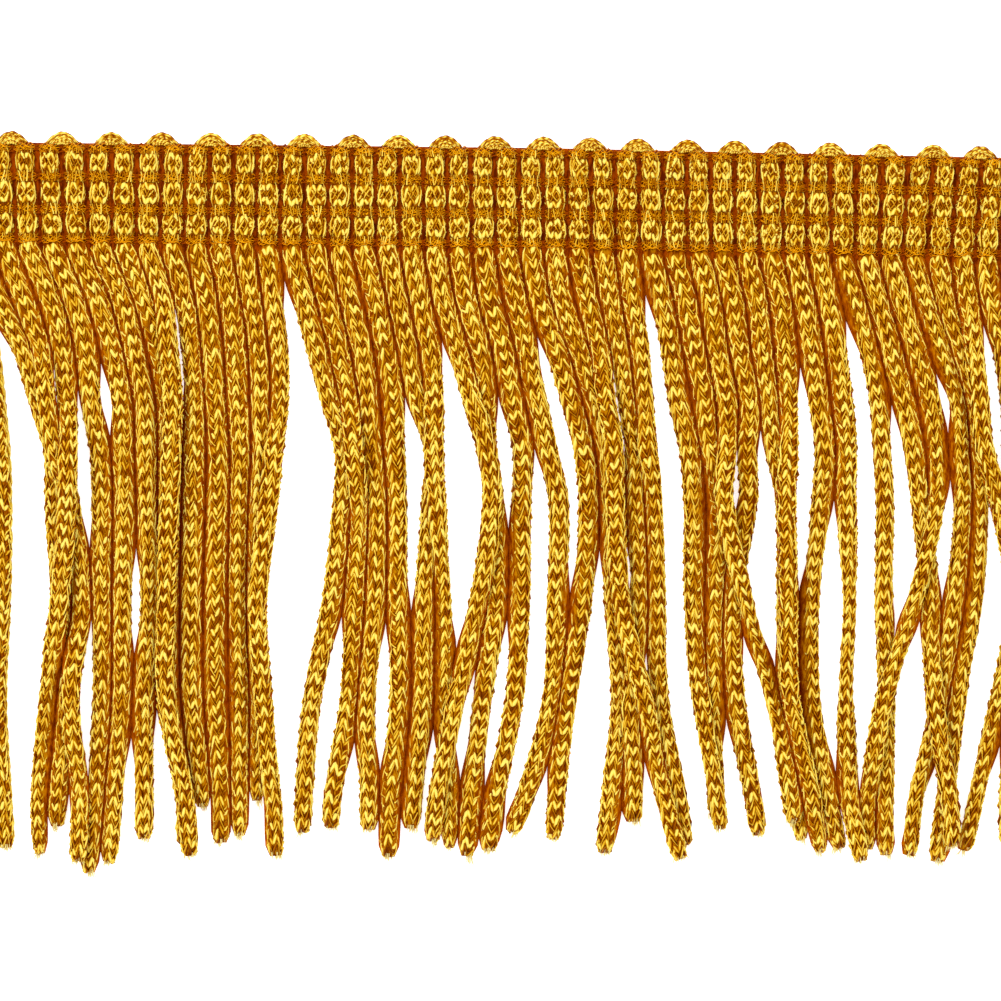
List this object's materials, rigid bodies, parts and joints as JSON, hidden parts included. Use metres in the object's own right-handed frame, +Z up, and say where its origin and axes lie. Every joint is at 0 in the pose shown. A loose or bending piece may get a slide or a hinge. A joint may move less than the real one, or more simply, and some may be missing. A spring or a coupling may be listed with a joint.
{
  "type": "chainette fringe",
  "caption": "Fringe trim of knitted yarn cord: a looped heading with rows of bead-like bulges and loose cut strands hanging from its lower edge.",
  "frame": {"origin": "middle of the part in plan, on the surface that it lies on", "axes": "+X along the heading, +Y from the cut tips towards the looped edge, +Z up out of the face"},
  "size_m": [0.1218, 0.0796, 0.0045],
  "materials": {
    "cord": "bright golden-yellow rayon yarn with a silky sheen, knitted",
    "binding": "fine dull ochre-orange thread, chain stitched"
  },
  "bodies": {
    "root": {"heading": "cord", "strands": "cord", "binding_1": "binding", "binding_2": "binding", "binding_3": "binding", "binding_4": "binding"}
  },
  "joints": []
}
